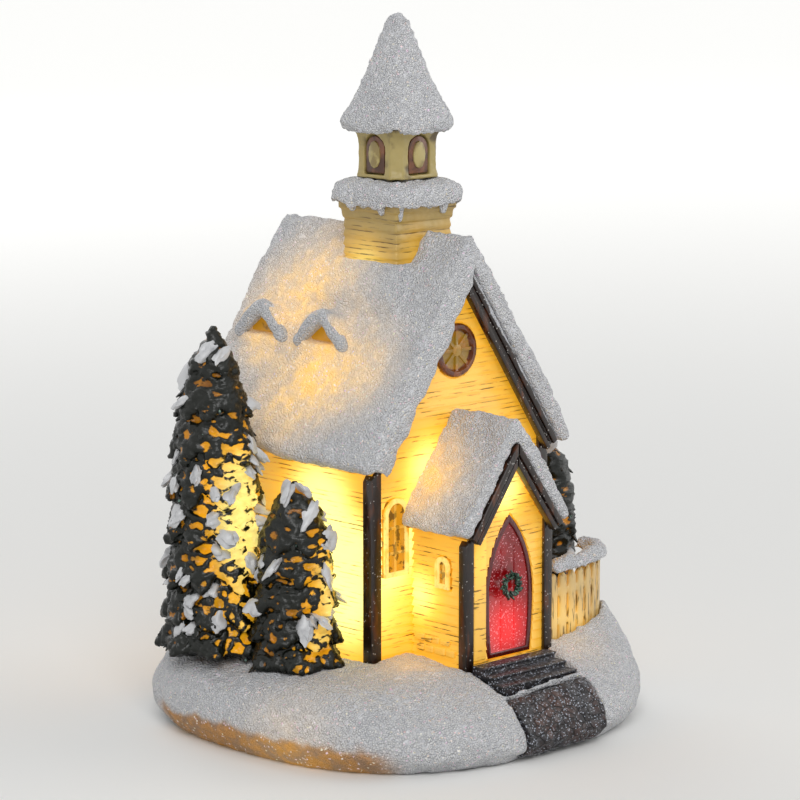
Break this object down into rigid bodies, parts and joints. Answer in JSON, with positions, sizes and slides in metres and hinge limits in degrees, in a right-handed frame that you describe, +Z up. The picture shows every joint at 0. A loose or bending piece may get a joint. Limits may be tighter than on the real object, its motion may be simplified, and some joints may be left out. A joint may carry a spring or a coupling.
{
  "type": "light-up christmas house",
  "caption": "Snow-covered resin church with porch, steeple and trees on a snow mound, lit from inside by a battery lamp module with a hinged battery door and slide switch.",
  "frame": {"origin": "middle of the flat underside, on the table", "axes": "+Z up to the steeple's tip, +X to the right as the door is faced, -Y out of the door, so the trees beside the church are on the -X side"},
  "size_m": [0.0844, 0.0848, 0.13],
  "materials": {
    "snow": "painted, coated with granular glitter snow",
    "lit_snow": "granular glitter snow over lit resin",
    "lit_resin": "translucent cast resin, lit from inside",
    "cream_resin": "translucent cast resin, cream wash",
    "fence_resin": "translucent cast resin, cream wash",
    "amber_resin": "translucent cast resin, amber wash, lit",
    "pane": "translucent cast resin, lit from inside",
    "belfry_pane": "brown wash with a cream oval",
    "dark_trim": "glossy dark brown paint",
    "foliage": "glossy dark green paint, white dabs",
    "red_paint": "red glitter paint",
    "wreath_green": "dark green paint",
    "grey_stone": "dark grey paint with glitter",
    "module_black": "moulded, fine texture",
    "knob_white": "moulded",
    "steel": "bright plated",
    "spring_brass": "sheet, bright",
    "board_green": "solder mask on laminate",
    "led_lens": "clear lens, warm white light"
  },
  "bodies": {
    "house": {"snow_base": "snow", "fence_snow": "snow", "steeple_ledge_snow": "snow", "steeple_snow_cap": "snow", "porch_snow": "snow", "roof_snow": "lit_snow", "church_walls": "lit_resin", "porch_walls": "lit_resin", "steeple_tower": "cream_resin", "belfry": "cream_resin", "steeple_roof": "cream_resin", "garden_fence": "fence_resin", "left_front_dormer": "amber_resin", "left_rear_dormer": "amber_resin", "right_front_dormer": "amber_resin", "right_rear_dormer": "amber_resin", "roof_boards": "amber_resin", "porch_roof_boards": "amber_resin", "round_window": "amber_resin", "front_left_window": "pane", "front_right_window": "pane", "side_front_window": "pane", "side_rear_window": "pane", "porch_left_window": "pane", "porch_right_window": "pane", "belfry_front_window": "belfry_pane", "belfry_right_window": "belfry_pane", "belfry_rear_window": "belfry_pane", "belfry_left_window": "belfry_pane", "front_left_bargeboard": "dark_trim", "front_right_bargeboard": "dark_trim", "rear_left_bargeboard": "dark_trim", "rear_right_bargeboard": "dark_trim", "front_left_corner_board": "dark_trim", "front_right_corner_board": "dark_trim", "rear_left_corner_board": "dark_trim", "rear_right_corner_board": "dark_trim", "porch_left_bargeboard": "dark_trim", "porch_right_bargeboard": "dark_trim", "porch_left_post": "dark_trim", "porch_right_post": "dark_trim", "tall_tree": "foliage", "small_tree": "foliage", "right_tree": "foliage", "door": "red_paint", "door_wreath": "wreath_green", "stone_path": "grey_stone", "door_steps": "grey_stone", "module_housing": "module_black", "module_floor": "module_black", "coin_cell": "steel", "left_module_screw": "steel", "right_module_screw": "steel", "switch_body": "steel", "top_contact": "spring_brass", "side_contact": "spring_brass", "circuit_board": "board_green", "led_lamp": "led_lens"},
    "battery_door": {"battery_door": "module_black"},
    "switch_knob": {"switch_knob": "knob_white"}
  },
  "joints": [
    {"name": "battery_door_hinge", "type": "hinge", "parent": "house", "child": "battery_door", "pos_m": [0.005, 0.01575, 0.0022], "axis": [1, 0, 0], "range_deg": [0, 95]},
    {"name": "switch_slide", "type": "slide", "parent": "house", "child": "switch_knob", "axis": [1, 0, 0], "range_m": [0, 0.0024]}
  ]
}
